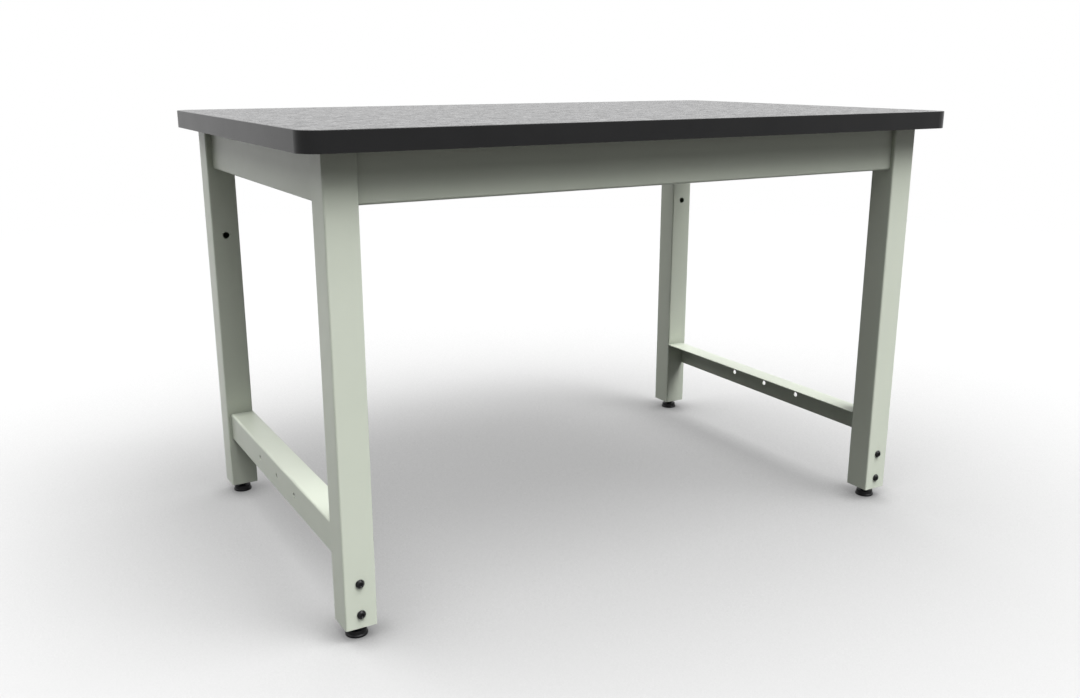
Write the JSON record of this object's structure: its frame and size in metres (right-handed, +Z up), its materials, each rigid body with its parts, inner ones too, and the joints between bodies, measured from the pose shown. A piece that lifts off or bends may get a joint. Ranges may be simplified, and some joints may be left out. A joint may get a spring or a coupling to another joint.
{
  "type": "laboratory bench",
  "caption": "Freestanding laboratory bench: rounded laminate worktop on a square tube frame with recessed aprons, low end rails with accessory holes and screw-adjusted levelling feet.",
  "frame": {"origin": "on the floor under the middle of the worktop", "axes": "+X to the right along the bench, +Y from the front to the back, +Z up"},
  "size_m": [1.2192, 0.762, 0.762],
  "materials": {
    "charcoal_laminate": "fine textured charcoal high-pressure laminate",
    "black_edge_band": "smooth satin black PVC edge band",
    "particle_board": "raw particle board",
    "backer_sheet": "brown phenolic backer",
    "frame_paint": "pale grey-green satin powder coat",
    "insert_steel": "zinc plated steel tube",
    "plain_steel": "plain steel weld nuts",
    "black_fastener": "black oxide steel",
    "zinc_fastener": "zinc plated steel",
    "black_nylon": "moulded black nylon"
  },
  "bodies": {
    "root": {"worktop_core": "particle_board", "worktop_laminate": "charcoal_laminate", "worktop_backer": "backer_sheet", "worktop_edge_band": "black_edge_band", "leg_front_left": "frame_paint", "leg_front_right": "frame_paint", "leg_rear_left": "frame_paint", "leg_rear_right": "frame_paint", "front_apron": "frame_paint", "rear_apron": "frame_paint", "left_apron": "frame_paint", "right_apron": "frame_paint", "left_lower_rail": "frame_paint", "right_lower_rail": "frame_paint", "apron_end_plate_front_left": "frame_paint", "apron_end_plate_front_right": "frame_paint", "apron_end_plate_rear_left": "frame_paint", "apron_end_plate_rear_right": "frame_paint", "leg_insert_front_left": "insert_steel", "foot_plate_front_left": "insert_steel", "leg_insert_front_right": "insert_steel", "foot_plate_front_right": "insert_steel", "leg_insert_rear_left": "insert_steel", "foot_plate_rear_left": "insert_steel", "leg_insert_rear_right": "insert_steel", "foot_plate_rear_right": "insert_steel", "foot_weld_nuts": "plain_steel", "leg_bolt_nuts": "plain_steel", "apron_bolt_nuts": "plain_steel", "foot_jam_nuts": "black_fastener", "leg_bolts": "black_fastener", "apron_bolts": "zinc_fastener", "worktop_screws": "zinc_fastener"},
    "pad_front_left": {"foot_pad_front_left": "black_nylon"},
    "stud_front_left": {"foot_stud_front_left": "black_fastener"},
    "pad_front_right": {"foot_pad_front_right": "black_nylon"},
    "stud_front_right": {"foot_stud_front_right": "black_fastener"},
    "pad_rear_left": {"foot_pad_rear_left": "black_nylon"},
    "stud_rear_left": {"foot_stud_rear_left": "black_fastener"},
    "pad_rear_right": {"foot_pad_rear_right": "black_nylon"},
    "stud_rear_right": {"foot_stud_rear_right": "black_fastener"}
  },
  "joints": [
    {"name": "foot_travel_front_left", "type": "slide", "parent": "root", "child": "pad_front_left", "axis": [0, 0, -1], "range_m": [-0.002, 0.025]},
    {"name": "foot_turn_front_left", "type": "hinge", "parent": "pad_front_left", "child": "stud_front_left", "pos_m": [-0.5445, -0.31115, 0.03], "axis": [0, 0, -1], "range_deg": [-460, 5680]},
    {"name": "foot_travel_front_right", "type": "slide", "parent": "root", "child": "pad_front_right", "axis": [0, 0, -1], "range_m": [-0.002, 0.025]},
    {"name": "foot_turn_front_right", "type": "hinge", "parent": "pad_front_right", "child": "stud_front_right", "pos_m": [0.5445, -0.31115, 0.03], "axis": [0, 0, -1], "range_deg": [-460, 5680]},
    {"name": "foot_travel_rear_left", "type": "slide", "parent": "root", "child": "pad_rear_left", "axis": [0, 0, -1], "range_m": [-0.002, 0.025]},
    {"name": "foot_turn_rear_left", "type": "hinge", "parent": "pad_rear_left", "child": "stud_rear_left", "pos_m": [-0.5445, 0.34925, 0.03], "axis": [0, 0, -1], "range_deg": [-460, 5680]},
    {"name": "foot_travel_rear_right", "type": "slide", "parent": "root", "child": "pad_rear_right", "axis": [0, 0, -1], "range_m": [-0.002, 0.025]},
    {"name": "foot_turn_rear_right", "type": "hinge", "parent": "pad_rear_right", "child": "stud_rear_right", "pos_m": [0.5445, 0.34925, 0.03], "axis": [0, 0, -1], "range_deg": [-460, 5680]}
  ],
  "couplings": [
    {"joint": "foot_turn_front_left", "follows": "foot_travel_front_left", "rad_per_m": 3957.9},
    {"joint": "foot_turn_front_right", "follows": "foot_travel_front_right", "rad_per_m": 3957.9},
    {"joint": "foot_turn_rear_left", "follows": "foot_travel_rear_left", "rad_per_m": 3957.9},
    {"joint": "foot_turn_rear_right", "follows": "foot_travel_rear_right", "rad_per_m": 3957.9}
  ]
}
